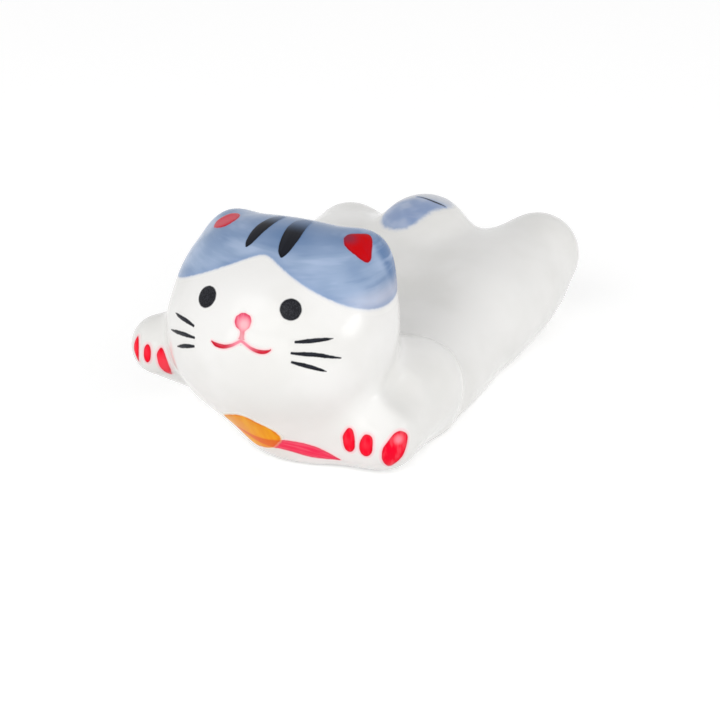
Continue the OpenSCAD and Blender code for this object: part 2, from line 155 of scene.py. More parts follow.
@dataclass(frozen=True)
class CatShape:
    """Form of the cat: eggs and limbs that flow into each other."""

    skull: tuple[Point, Point] = ((0, -12, 13.4), (12.6, 10.9, 10.6))
    brow_at: Point = (4.7, -9.8, 18.1)
    brow_r: float = 6.4
    brow_fillet: float = 3
    ear: tuple[Point, Point] = ((7.6, -7.7, 20.8), (2.65, 2.78, 3.18))
    ear_fillet: float = 2
    neck_fillet: float = 5
    chest: tuple[Point, Point] = ((3.5, -7.4, 3.5), (9.9, 9.6, 6.2))
    waist: tuple[Point, Point] = ((0, 8, 3.2), (13.1, 18, 5.7))
    hips: tuple[Point, Point] = ((0, 24.6, 4.9), (16.7, 11.1, 7.2))
    tail: tuple[Point, Point] = ((0, 27.1, 9.1), (5.7, 6.7, 5.7))
    trunk_fillet: float = 5
    hip_fillet: float = 4
    tail_fillet: float = 1.7
    left_hind: tuple[Ball, ...] = (
        (8.6, -0.5, 1, 6.1), (10.4, 18.5, 5, 5.8), (12.4, 32.7, 7.8, 4.4), (11.9, 30.8, 5.6, 4.53))
    right_hind: tuple[Ball, ...] = (
        (-8.6, -0.5, 1, 5.6), (-10.4, 18.5, 4.4, 5.2), (-11.9, 32.7, 5.7, 4),
        (-11.4, 30.8, 4.5, 4.12))
    calf_fillet: float = 2
    left_fore: tuple[Ball, ...] = ((11.9, -2.7, 5.7, 4.6), (12.2, -12.8, 4.3, 4))
    left_fore_fillet: float = 3.5
    right_fore: tuple[Ball, ...] = ((-11.7, -0.5, 3.7, 5.1), (-13.7, -13.3, 9.8, 3.3))
    right_fore_fillet: float = 2.5
    dimple_at: Point = (14, -11.7, 8.7)
    dimple_depth: float = 0.8
    dimple_r: float = 3.5
    wall: float = 2.2
    hollow_fillet: float = 1.5
    vent_at: Place = (0, 10)
    vent_r: float = 2
    vent_rounding: float = 0.4
    base_rounding: float = 0.5

    def head(self, p: Array) -> Array:
        """Distance to the head with its brow and ears."""
        x, y, z = self.brow_at
        brow = limb(p, (-x, y, z), (x, y, z), self.brow_r, self.brow_r)
        ears = egg(np.column_stack([np.abs(p[:, 0]), p[:, 1:]]), *self.ear)
        return join(join(egg(p, *self.skull), brow, self.brow_fillet), ears, self.ear_fillet)

    def trunk(self, p: Array) -> Array:
        """Distance to the chest, waist and hips."""
        front = join(egg(p, *self.chest), egg(p, *self.waist), self.trunk_fillet)
        return join(front, egg(p, *self.hips), self.hip_fillet)

    def leg(self, p: Array, balls: tuple[Ball, ...]) -> Array:
        """Distance to a leg that runs through balls, each with its middle and radius."""
        parts = [limb(p, a[:3], b[:3], a[3], b[3]) for a, b in zip(balls, balls[1:])]
        leg = parts[0]
        for part in parts[1:]:
            leg = join(leg, part, self.calf_fillet)
        return leg

    def dimple(self, p: Array) -> Array:
        """Depth of the shallow dimple over the left paw."""
        away = np.linalg.norm(p - np.array(self.dimple_at), axis=1) / self.dimple_r
        return self.dimple_depth * np.maximum(1 - away * away, 0) ** 2

    def skin(self, p: Array) -> Array:
        """Distance to the outside of the whole cat, before its base is ground flat."""
        hind = join(self.leg(p, self.left_hind), self.leg(p, self.right_hind), self.hip_fillet)
        back = join(self.trunk(p), hind, self.hip_fillet)
        back = join(back, egg(p, *self.tail), self.tail_fillet)
        cat = join(self.head(p), back, self.neck_fillet)
        cat = join(cat, self.leg(p, self.left_fore), self.left_fore_fillet)
        cat = join(cat, self.leg(p, self.right_fore), self.right_fore_fillet)
        return cat + self.dimple(p)

    def hollow(self, p: Array) -> Array:
        """Distance to the wall of the hollow, negative in the hollow and in the vent."""
        lining = join(self.head(p), self.trunk(p), self.neck_fillet) + self.wall
        room = cut(lining, self.wall - p[:, 2], self.hollow_fillet)
        from_axis = np.linalg.norm(p[:, :2] - np.array(self.vent_at), axis=1)
        vent = np.maximum(from_axis - self.vent_r, np.abs(p[:, 2]) - 2 * self.wall)
        return join(room, vent, self.vent_rounding)

    def solid(self, p: Array) -> Array:
        """Distance to the porcelain itself: the wall, the ground base and the vent."""
        whole = cut(self.skin(p), -p[:, 2], self.base_rounding)
        return cut(whole, -self.hollow(p), self.vent_rounding)

    def outward(self, p: Array) -> Array:
        """Direction out of the skin at each point."""
        return unit(slope(self.skin, p))

    def seen_from(self, p: Array, way: Point) -> Array:
        """Points of the skin straight behind places that are seen along a direction."""
        return settle(self.skin, reach(self.skin, p, unit(np.array(way, float))))


def net(of: Distance, low: Point, high: Point, step: float) -> tuple[Array, Array]:
    """Closed net of squares over the surface where a distance is zero.

    Each cell that the surface crosses has one point, and each crossed edge a square.

    Args:
        of: The distance.
        low: Lowest corner of the box to look in.
        high: Highest corner of the box.
        step: Size of a cell.

    Returns:
        Points, and squares as rows of four point numbers.
    """
    count = [math.ceil((b - a) / step) for a, b in zip(low, high)]
    axes = [a + step * np.arange(n + 1) for a, n in zip(low, count)]
    grid = np.stack(np.meshgrid(*axes, indexing="ij"), -1)
    value = of(grid.reshape(-1, 3)).reshape(grid.shape[:3])
    inside = value < 0
    total, hits, edges = np.zeros((*count, 3)), np.zeros(count), []
    for a in range(3):
        b, c = (a + 1) % 3, (a + 2) % 3
        near, far = ([slice(None)] * 3 for _ in range(2))
        near[a], far[a] = slice(0, -1), slice(1, None)
        near, far = tuple(near), tuple(far)
        crossed = inside[near] != inside[far]
        share = value[near] / np.where(crossed, value[near] - value[far], 1)
        at = grid[near] + np.where(crossed, share, 0)[..., None] * step * np.eye(3)[a]
        for i, j in ((0, 0), (0, 1), (1, 0), (1, 1)):
            part = [slice(None)] * 3
            part[b], part[c] = slice(i, count[b] + i), slice(j, count[c] + j)
            part = tuple(part)
            total += at[part] * crossed[part][..., None]
            hits += crossed[part]
        edges.append((a, b, c, crossed, inside[near]))
    number = np.where(hits > 0, np.cumsum((hits > 0).ravel()).reshape(hits.shape) - 1, -1)
    points = total[hits > 0] / hits[hits > 0][:, None]
    squares = []
    for a, b, c, crossed, here in edges:
        at = np.argwhere(crossed)
        at = at[(at[:, b] > 0) & (at[:, b] < count[b]) & (at[:, c] > 0) & (at[:, c] < count[c])]
        eb, ec = np.eye(3, dtype=int)[[b, c]]
        ring = np.stack([number[tuple((at - d).T)] for d in (eb + ec, ec, 0 * eb, eb)], 1)
        squares.append(np.where(here[tuple(at.T)][:, None], ring, ring[:, ::-1]))
    return points, np.concatenate(squares)


def relax(of: Distance, p: Array, squares: Array, rounds: int) -> Array:
    """Spread a net's points evenly over its surface.

    Args:
        of: Distance to the surface.
        p: Points of the net.
        squares: Its squares.
        rounds: How often each point moves halfway to the middle of its neighbours.

    Returns:
        The points, on the surface.
    """
    ends = np.concatenate([squares[:, [i, (i + 1) % 4]] for i in range(4)])
    count = np.bincount(ends[:, 0], minlength=len(p))[:, None]
    for _ in range(rounds):
        total = np.stack([np.bincount(ends[:, 0], p[ends[:, 1], a], len(p)) for a in range(3)], 1)
        p = settle(of, (p + total / count) / 2, 1)
    return settle(of, p, 2)


def new_mesh(name: str, points: Array, faces: Array) -> bpy.types.Object:
    """Object at the origin whose mesh has its place in metres.

    Args:
        name: Name of the piece.
        points: Points in millimetres.
        faces: Rows of point numbers.

    Returns:
        The object, in the scene.
    """
    mesh = bpy.data.meshes.new(name)
    mesh.from_pydata((points * MM).tolist(), [], faces.tolist())
    mesh.polygons.foreach_set("use_smooth", np.ones(len(mesh.polygons), bool))
    mesh.update()
    piece = bpy.data.objects.new(name, mesh)
    bpy.context.scene.collection.objects.link(piece)
    return piece


def store(piece: bpy.types.Object, name: str, values: Array) -> None:
    """Keep a number or a vector at each point of a piece's mesh."""
    kind, key = ("FLOAT_VECTOR", "vector") if values.ndim == 2 else ("FLOAT", "value")
    attribute = piece.data.attributes.new(name, kind, "POINT")
    attribute.data.foreach_set(key, values.astype(np.float32).ravel())


def linear(colour: str) -> tuple[float, float, float, float]:
    """Linear colour of an sRGB hex value."""
    parts = [int(colour[i:i + 2], 16) / 255 for i in (0, 2, 4)]
    return (*(c / 12.92 if c <= 0.04045 else ((c + 0.055) / 1.055) ** 2.4 for c in parts), 1)


class Tree:
    """Nodes of one material, world or geometry group, built from nothing."""

    def __init__(self, group: bpy.types.NodeTree) -> None:
        """Empty a group of nodes, to build it anew."""
        self.nodes, self.links = group.nodes, group.links
        self.nodes.clear()

    def add(self, kind: str, inputs: dict | None = None, **settings: object) -> bpy.types.Node:
        """Add a node with its settings, and set or link its inputs.

        Args:
            kind: Type of the node.
            inputs: Value or socket for each input, by name or number.
            settings: Properties of the node.

        Returns:
            The node.
        """
        made = self.nodes.new(kind)
        for key, value in settings.items():
            setattr(made, key, value)
        for key, value in (inputs or {}).items():
            if isinstance(value, Socket):
                self.links.new(value, made.inputs[key])
            else:
                made.inputs[key].default_value = value
        return made

    def out(self, kind: str, inputs: dict | None = None, **settings: object) -> Socket:
        """First output of a node that is added."""
        return self.add(kind, inputs, **settings).outputs[0]

    def attribute(self, name: str, output: str = "Fac") -> Socket:
        """Number or vector that is kept at each point of the mesh."""
        return self.add("ShaderNodeAttribute", attribute_name=name).outputs[output]

    def mix(self, share: object, a: object, b: object) -> Socket:
        """Colour between a and b, which are hex values or sockets."""
        a, b = (linear(c) if isinstance(c, str) else c for c in (a, b))
        return self.add("ShaderNodeMix", {0: share, 6: a, 7: b}, data_type="RGBA").outputs[2]

    def blend(self, share: Socket, a: Socket, b: Socket) -> Socket:
        """Shader between the shaders a and b."""
        return self.out("ShaderNodeMixShader", {0: share, 1: a, 2: b})

    def ramp(self, value: Socket, start: float, end: float, low: float = 0,
             high: float = 1) -> Socket:
        """Soft step from low to high as a value goes from start to end."""
        return self.out("ShaderNodeMapRange",
                        {"Value": value, "From Min": start, "From Max": end, "To Min": low,
                         "To Max": high}, interpolation_type="SMOOTHSTEP")

    def maths(self, operation: str, a: object, b: object) -> Socket:
        """Result of an operation on two numbers."""
        return self.out("ShaderNodeMath", {0: a, 1: b}, operation=operation)

    def vector_maths(self, operation: str, inputs: dict, output: int | str = 0) -> Socket:
        """Result of an operation on vectors."""
        return self.add("ShaderNodeVectorMath", inputs, operation=operation).outputs[output]

    def noise(self, vector: Socket, sizes: Point, detail: float = 2, seed: float = 0) -> Socket:
        """Noise whose blots have a size in millimetres along each axis of a vector.

        Args:
            vector: Places in millimetres.
            sizes: Size of a blot along x, y and z.
            detail: Finer layers over the blots.
            seed: Place in the noise where the pattern starts.

        Returns:
            Number from 0 to 1, mostly near 0.5.
        """
        scaled = self.add("ShaderNodeMapping",
                          {"Vector": vector, "Location": (seed, seed * 1.7, seed * 0.3),
                           "Scale": tuple(1 / size for size in sizes)})
        return self.add("ShaderNodeTexNoise", {"Vector": scaled.outputs[0], "Scale": 1.0,
                                               "Detail": detail}).outputs["Fac"]

    def millimetres(self) -> Socket:
        """Place on the cat in millimetres."""
        place = self.add("ShaderNodeTexCoord").outputs["Object"]
        return self.vector_maths("SCALE", {0: place, 3: 1 / MM})


@dataclass(frozen=True)
class Glaze:
    """Clear glaze over white porcelain: wet gloss, a faint unevenness where it flowed."""

    name: str = "glazed_porcelain"
    white: str = "F1F0EE"
    shade: str = "EAE9E6"
    tone_size: float = 9
    tones: Place = (0.35, 0.65)
    wave_size: float = 3.5
    wave_height: float = 0.004
    gloss: float = 0.13
    ior: float = 1.5
    shine: float = 0.5

    def ground(self, tree: Tree) -> tuple[Socket, Socket]:
        """Colour and waviness of the bare glaze, which every finish starts from.

        Args:
            tree: Tree of the material.

        Returns:
            Sockets with the colour and the normal.
        """
        mm = tree.millimetres()
        tone = tree.noise(mm, (self.tone_size,) * 3, 3)
        colour = tree.mix(tree.ramp(tone, *self.tones), self.white, self.shade)
        wave = tree.noise(mm, (self.wave_size,) * 3, 1, 5)
        return colour, tree.out("ShaderNodeBump", {"Height": wave, "Strength": 1.0,
                                                   "Distance": self.wave_height * MM})

    def shader(self, tree: Tree, inputs: dict) -> None:
        """Finish a material's tree with the glossy shader that all finishes share."""
        made = tree.out("ShaderNodeBsdfPrincipled",
                        {"IOR": self.ior, "Specular IOR Level": self.shine, **inputs})
        tree.add("ShaderNodeOutputMaterial", {"Surface": made})


@dataclass(frozen=True)
class Porcelain(Glaze):
    """The casting: glazed all over, but for the ground foot, the vent and the inside."""

    name: str = "slip_cast_porcelain"
    clay: str = "E4DED3"
    clay_dark: str = "D6CFC3"
    # The real grain is finer than 0.1 mm and is drawn coarser, so that it shows
    clay_grain: float = 0.25
    clay_gloss: float = 0.75
    clay_edge: Place = (0.55, 0.75)
    ragged: float = 0.3

    def make(self) -> bpy.types.Material:
        """Build the material."""
        material, tree = blank(self.name)
        colour, normal = self.ground(tree)
        bare = tree.attribute(BARE)
        grain = tree.noise(tree.millimetres(), (self.clay_grain,) * 3, 3)
        ragged = tree.maths("ADD", bare, tree.maths("MULTIPLY", grain, self.ragged))
        edge = tree.ramp(ragged, *self.clay_edge)
        clay = tree.mix(grain, self.clay, self.clay_dark)
        self.shader(tree, {"Base Color": tree.mix(edge, colour, clay), "Normal": normal,
                           "Roughness": tree.ramp(edge, 0, 1, self.gloss, self.clay_gloss)})
        return material


@dataclass(frozen=True)
class Enamel(Glaze):
    """Overglaze enamel: pigment in a low-fired glass, brushed on thin, so it streaks.

    The pigment pools along its edge and bleeds a little outside. Where the brush lifted
    off, it has a pale spot or thins out along the stroke; on the left paw's outer toe the pale
    spot is a painted highlight. Real brush lines are about 0.1 mm apart. They are drawn up to
    seven times as coarse, so that they show.
    """

    name: str = "black_line_enamel"
    slot: str = "black_enamel"
    pigment: str = "191B23"
    pooled: str = "101218"
    thin: str = "35373F"
    halo: str = "8E9098"
    shine: float = 0.12
    feather: float = 0.05
    rim: float = 0.2
    bleed: float = 0.15
    bleed_share: float = 0.15
    streak: Place = (0.25, 1.5)
    streak_share: float = 0.3
    hairs: Place = (0.4, 0.65)
    blot: float = 0.5
    spot: Point = (0, 0, 1)
    spot_core: float = 0.15
    spot_share: float = 0.0
    fade: Place = (0, 1)
    fade_share: float = 0.0
    wobble: float = 0.02
    relief: float = 0.006
    relief_share: float = 0.5
    seed: float = 0
    over: "Wash | None" = None
    under: str = ""
    shown: str = ""
    shown_edge: Place = (-0.1, 0.3)
    shown_share: float = 0.8

    def faded(self, tree: Tree, colour: Socket, ground: Socket, brush: Socket) -> Socket:
        """Colour that thins out along the stroke, down to what it is painted on."""
        if not self.fade_share:
            return colour
        along = tree.add("ShaderNodeSeparateXYZ", {0: brush}).outputs[1]
        return tree.mix(tree.ramp(along, *self.fade, 0, self.fade_share), colour, ground)

    def body(self, tree: Tree, ground: Socket, brush: Socket, edge: Socket) -> Socket:
        """Colour of the pigment inside the stroke.

        Args:
            tree: Tree of the material.
            ground: Colour of what it is painted on.
            brush: Distance across and along the stroke.
            edge: Distance inside its edge.

        Returns:
            Socket with the colour.
        """
        hairs = tree.ramp(tree.noise(brush, (*self.streak, 1), 2, self.seed), *self.hairs)
        colour = tree.mix(tree.ramp(edge, 0, self.rim), self.pooled, self.pigment)
        colour = tree.mix(tree.maths("MULTIPLY", hairs, self.streak_share), colour, self.thin)
        # The pale spot: thin pigment where the brush lifted off, and on the left paw's outer toe a
        # painted highlight
        if self.spot_share:
            away = tree.vector_maths("DISTANCE", {0: brush, 1: (*self.spot[:2], 0)}, "Value")
            radius = self.spot[2]
            share = tree.ramp(away, self.spot_core * radius, radius, self.spot_share, 0)
            colour = tree.mix(share, colour, self.thin)
        colour = self.faded(tree, colour, ground, brush)
        if self.under:
            below = tree.ramp(tree.attribute(UNDER), *self.shown_edge, 0, self.shown_share)
            colour = tree.mix(below, colour, self.shown)
        return colour

    def make(self) -> bpy.types.Material:
        """Build the material."""
        material, tree = blank(self.name)
        ground, normal = self.ground(tree)
        if self.over:
            ground = self.over.wash(tree)
        if self.under:
            below = tree.ramp(tree.attribute(UNDER), -self.feather / 2, self.feather / 2)
            ground = tree.mix(below, ground, self.under)
        marks = tree.attribute(BRUSH, "Vector")
        parts = tree.add("ShaderNodeSeparateXYZ", {0: marks}).outputs
        brush = tree.out("ShaderNodeCombineXYZ", {0: parts[0], 1: parts[1]})
        blots = tree.noise(brush, (self.blot, self.blot, 1), 2, self.seed + 3)
        # A noise mostly stays within a quarter of its middle
        shift = tree.maths("MULTIPLY", tree.maths("SUBTRACT", blots, 0.5), 4 * self.wobble)
        edge = tree.maths("ADD", parts[2], shift)
        inner = self.body(tree, ground, brush, edge)
        outer = tree.mix(tree.ramp(edge, -self.bleed, 0, 0, self.bleed_share), ground, self.halo)
        colour = tree.mix(tree.ramp(edge, -self.feather, self.feather), outer, inner)
        lines = tree.noise(brush, (*self.streak, 1), 2, self.seed)
        bump = tree.out("ShaderNodeBump", {"Height": lines, "Strength": self.relief_share,
                                           "Distance": self.relief * MM, "Normal": normal})
        self.shader(tree, {"Base Color": colour, "Roughness": self.gloss, "Normal": bump})
        return material


@dataclass(frozen=True)
class Wash(Enamel):
    """Pigment let down with water: it dries in lighter and darker brush lines.

    Its pattern goes by the place on the cat, so that a stroke over it can show it. Patches
    and lines have the start, the end and the share of their colour in a noise. A pool is a
    direction, how far along it the pool starts and ends, its share and its colour.
    """

    pigment: str = "93A9C9"
    deep: str = "587AA8"
    pale: str = "B9CAE6"
    pooled: str = "839BC2"
    halo: str = "C3CCDF"
    shine: float = 0.25
    rim_share: float = 0.5
    pools: tuple[tuple[Point, float, float, float, str], ...] = ()
    patch: Point = (6, 6, 4)
    pale_patches: Point = (0.45, 0.65, 0.5)
    deep_patches: Point = (0.5, 0.35, 0.35)
    round_lines: Point = (9, 9, 0.8)
    cross_lines: Point = (9, 5, 1.4)
    pale_lines: Point = (0.5, 0.34, 0.5)
    deep_lines: Point = (0.5, 0.66, 0.4)

    def wash(self, tree: Tree) -> Socket:
        """Colour of the wash away from its edge."""
        mm = tree.millimetres()
        patches = tree.noise(mm, self.patch, 1, self.seed)
        both = tree.maths("ADD", tree.noise(mm, self.round_lines, 3, self.seed + 7),
                          tree.noise(mm, self.cross_lines, 3, self.seed + 13))
        lines = tree.maths("MULTIPLY", both, 0.5)
        pools = [(tree.vector_maths("DOT_PRODUCT", {0: mm, 1: way}, "Value"), *pool)
                 for way, *pool in self.pools]
        colour = self.pigment
        for value, start, end, share, shade in (
                (patches, *self.pale_patches, self.pale), (patches, *self.deep_patches, self.deep),
                (lines, *self.deep_lines, self.deep), *pools,
                (lines, *self.pale_lines, self.pale)):
            colour = tree.mix(tree.ramp(value, start, end, 0, share), colour, shade)
        return colour

    def body(self, tree: Tree, ground: Socket, brush: Socket, edge: Socket) -> Socket:
        """Colour of the wash, which pools at its edge and may thin out along the stroke."""
        rim = tree.ramp(edge, 0, self.rim, self.rim_share, 0)
        return self.faded(tree, tree.mix(rim, self.wash(tree), self.pooled), ground, brush)


def blank(name: str) -> tuple[bpy.types.Material, Tree]:
    """New material with an empty tree."""
    material = bpy.data.materials.new(name)
    material.use_nodes = True
    return material, Tree(material.node_tree)


# Wash over the ears: thin over white, so it is pale where the brush was dry, darker on the
# crown and behind the ears, where it pooled, and lavender at the left cheek, where it ran out
CAP_WASH = Wash(
    name="blue_grey_wash", slot="blue_grey_enamel", feather=0.14, rim=0.9, bleed=0.4,
    bleed_share=0.35, wobble=0.04,
    pools=(((0, 0, 1), 23.2, 24.7, 0.65, "587AA8"),
           ((0.35, 0.9, 0.2), -1.1, 0.1, 0.9, "587AA8"),
           ((0.4, -0.1, -1), -15.4, -13.1, 0.5, "D4D2DE")))
# The same wash dabbed on the tail, paler and softer at its edge
TAIL_WASH = Wash(
    name="tail_wash", slot="blue_grey_enamel", pigment="98ABCE", deep="7E93BE", pale="BCC7DE",
    feather=0.3, rim=0.4, bleed=0.6, bleed_share=0.45, patch=(2, 2, 2), fade=(0.5, 2.2),
    fade_share=0.6, wobble=0.1, seed=11)
# Thick black dots with a fine dry grain
EYE_BLACK = Enamel(name="black_dot_enamel", pigment="17181D", thin="404148", streak=(0.12, 0.12),
                   streak_share=0.45, feather=0.07, seed=1)
# Whiskers, each one pull of a fine brush, dense all along
LINE_BLACK = Enamel(seed=2, thin="3A3D48", wobble=0.03)
# Strokes on the crown: dense in front, dry and blue-grey where the brush lifts off
STRIPE_BLACK = Enamel(
    name="black_stroke_enamel", thin="2C303A", rim=0.25, streak=(0.3, 4), streak_share=0.2,
    fade=(3.8, 7.2), fade_share=0.75, shine=0.08, halo="5E6880", seed=4, over=CAP_WASH)
# Thin black line over the wash on the tail
TAIL_BLACK = Enamel(name="black_tail_enamel", feather=0.08, bleed_share=0.4, halo="6E788E",
                    fade=(1.2, 0), fade_share=0.45, seed=5, over=TAIL_WASH)
# Red in the left ear: deep, with a dark rim, and thin at its top, where the wash shows
EAR_RED = Enamel(
    name="ear_red_enamel", slot="red_enamel", pigment="CE000A", pooled="A4000C", thin="863048",
    halo="B08AA8", rim=0.3, bleed_share=0.5, streak=(0.5, 1.5), streak_share=0.1,
    spot=(-0.2, 1.5, 1.5), spot_share=0.75, wobble=0.04, shine=0.05, seed=6, over=CAP_WASH)
# Red in the right ear: thinner, so it looks rose inside its red rim
EAR_ROSE = replace(
    EAR_RED, name="ear_rose_enamel", pigment="D41034", pooled="C0001C", thin="D83452",
    halo="C08AA8", rim=0.4, streak_share=0.3, spot=(0, 0.1, 1.3), spot_share=0.6, shine=0.12,
    seed=7)
# Toes: strong red with a darker rim and a soft pink bleed round it
TOE_RED = Enamel(
    name="toe_red_enamel", slot="red_enamel", pigment="FF002A", pooled="D00020", thin="FF4456",
    halo="FFA0B0", rim=0.28, bleed=0.45, bleed_share=0.45, streak=(0.35, 1.5), streak_share=0.3,
    spot=(-0.05, 0.1, 0.8), spot_share=0.3, shine=0.06, seed=8)
# The right paw's inner toe, thinner, so it looks coral
CORAL_RED = replace(TOE_RED, name="coral_toe_enamel", spot=(0, -0.3, 1.9), spot_share=0.85,
                    rim=0.4, seed=10)
# The left paw's outer toe, with a pale spot at its upper end that is a painted highlight
OUTER_TOE_RED_HIGHLIT = replace(
    TOE_RED, name="outer_toe_enamel", pigment="F8002C", pooled="E0002C", thin="FF9AA8", rim=0.35,
    streak=(0.5, 1.5), streak_share=0.15, spot=(0.45, 1, 0.75), spot_share=0.75, seed=15)
# Mouth: dark red at its ends, pink in the middle, where there was least pigment
MOUTH_RED = Enamel(
    name="mouth_red_enamel", slot="red_enamel", pigment="CE0428", pooled="BE0020", thin="F58CA0",
    halo="FFB4BE", rim=0.15, bleed=0.3, bleed_share=0.5, streak=(0.2, 1.5), streak_share=0.2,
    spot=(0, 3.9, 2.4), spot_share=1.0, wobble=0.01, seed=9)
# Nose: pink glass that pooled round its edge and left the middle pale
NOSE_PINK = Enamel(
    name="nose_pink_enamel", slot="pink_enamel", pigment="F06A88", pooled="E63E62", thin="FBC0C6",
    halo="FFC8CE", rim=0.45, bleed=0.35, bleed_share=0.5, streak=(0.3, 1.5), streak_share=0.2,
    spot=(0.15, 1.25, 1), spot_share=0.9, fade=(1.7, 2.4), fade_share=0.3, wobble=0.01,
    seed=12)
# Collar: clear red with brush lines along it
COLLAR_RED = Enamel(
    name="collar_red_enamel", slot="red_enamel", pigment="F83058", pooled="E01E48", thin="FF7C90",
    halo="FFB0BC", rim=0.35, bleed=0.35, bleed_share=0.45, streak=(0.3, 3), streak_share=0.35,
    wobble=0.03, shine=0.05, seed=14)
# Bell: amber, through which the red collar shows as orange
BELL_AMBER = Enamel(
    name="bell_amber_enamel", slot="amber_enamel", pigment="F59C00", pooled="EA7C00",
    thin="FFBC18", halo="FFE0A0", feather=0.1, rim=0.5, bleed=0.3, bleed_share=0.4,
    streak=(0.7, 3), streak_share=0.4, wobble=0.05, shine=0.05, seed=16, under="F03C60",
    shown="E85A1C")


def run_along(line: Array) -> Array:
    """Length of a line up to each of its points."""
    return np.concatenate([[0], np.cumsum(np.linalg.norm(np.diff(line, axis=0), axis=1))])


def curve(points: Sequence[Place] | Array, count: int, closed: bool = False) -> Array:
    """Smooth curve through a few points.

    Args:
        points: The points that it goes through, in order.
        count: Number of points on the curve.
        closed: Whether it comes back to its start.

    Returns:
        Points of the curve, evenly spaced along it.
    """
    p = np.array(points, float)
    ends = (p[-1:], p[:2]) if closed else (2 * p[:1] - p[1:2], 2 * p[-1:] - p[-2:-1])
    q = np.concatenate([ends[0], p, ends[1]])
    t = np.linspace(0, 1, CURVE_STEPS, endpoint=False)[:, None]
    parts = [b + (c - a) * t / 2 + (2 * a - 5 * b + 4 * c - d) * t ** 2 / 2
             + (3 * b - a - 3 * c + d) * t ** 3 / 2 for a, b, c, d in zip(q, q[1:], q[2:], q[3:])]
    fine = np.concatenate([*parts, p[:1] if closed else p[-1:]])
    run = run_along(fine)
    at = np.linspace(0, run[-1], count, endpoint=not closed)
    return np.stack([np.interp(at, run, fine[:, a]) for a in range(p.shape[1])], 1)


def from_line(p: Array, line: Array) -> Array:
    """Distance from each point to the nearest point of a line."""
    return np.min([np.linalg.norm(p - q, axis=1) for q in line], 0)


@dataclass
class Sheet:
    """Open sheet of points on the glaze, which a coat of enamel covers."""

    places: Array
    faces: Array
    across: Array
    along: Array
    edge: Array
    under: Array | None = None


def ring_faces(rings: int, spokes: int) -> Array:
    """Faces of rings of points round a middle point, which is point 0."""
    j = np.arange(spokes)
    k = (j + 1) % spokes
    middle = [(0, 1 + a, 1 + b) for a, b in zip(j, k)]
    quads = [(1 + i * spokes + a, 1 + (i + 1) * spokes + a,
              1 + (i + 1) * spokes + b, 1 + i * spokes + b)
             for i in range(rings - 1) for a, b in zip(j, k)]
    return np.array(middle + quads, dtype=object)


@dataclass(frozen=True)
class Dab:
    """One press of the brush: a smooth closed outline round a place on the glaze."""

    middle: Point
    outline: tuple[Place, ...]
    margin: float = 0.4
    rings: int = 12
    spokes: int = 48
    margin_rings: int = 4
    lift: float = 3

    def sheet(self, shape: CatShape) -> Sheet:
        """Points of the dab on the skin.

        Args:
            shape: Form that carries it.

        Returns:
            The sheet. Its across and along run as the outline's two axes do.
        """
        middle = settle(shape.skin, np.array([self.middle], float), 6)
        n = shape.outward(middle)[0]
        u = unit(np.cross(UP, n))
        v = np.cross(n, u)
        line = curve(self.outline, self.spokes, True)
        centre = line.mean(0)
        ahead = np.roll(line, -1, 0) - np.roll(line, 1, 0)
        out = unit(np.stack([ahead[:, 1], -ahead[:, 0]], 1))
        out *= np.sign((out * (line - centre)).sum(1).mean())
        (ax, ay), (bx, by) = line[:2] - centre
        if ax * by < ay * bx:
            line, out = line[::-1], out[::-1]
        shares = np.linspace(0, 1, self.rings + 1)[1:]
        flat = [centre[None]] + [centre + (line - centre) * s for s in shares]
        flat += [line + out * self.margin * (i + 1) / self.margin_rings
                 for i in range(self.margin_rings)]
        flat = np.concatenate(flat)
        places = middle[0] + flat[:, :1] * u + flat[:, 1:] * v + n * self.lift
        places = shape.seen_from(places, -n)
        rings = self.rings + self.margin_rings
        ring = np.concatenate([[0], np.repeat(np.arange(1, rings + 1), self.spokes)])
        border = places[ring == self.rings]
        edge = from_line(places, border) * np.where(ring > self.rings, -1, 1)
        return Sheet(places, ring_faces(rings, self.spokes), flat[:, 0], flat[:, 1], edge)


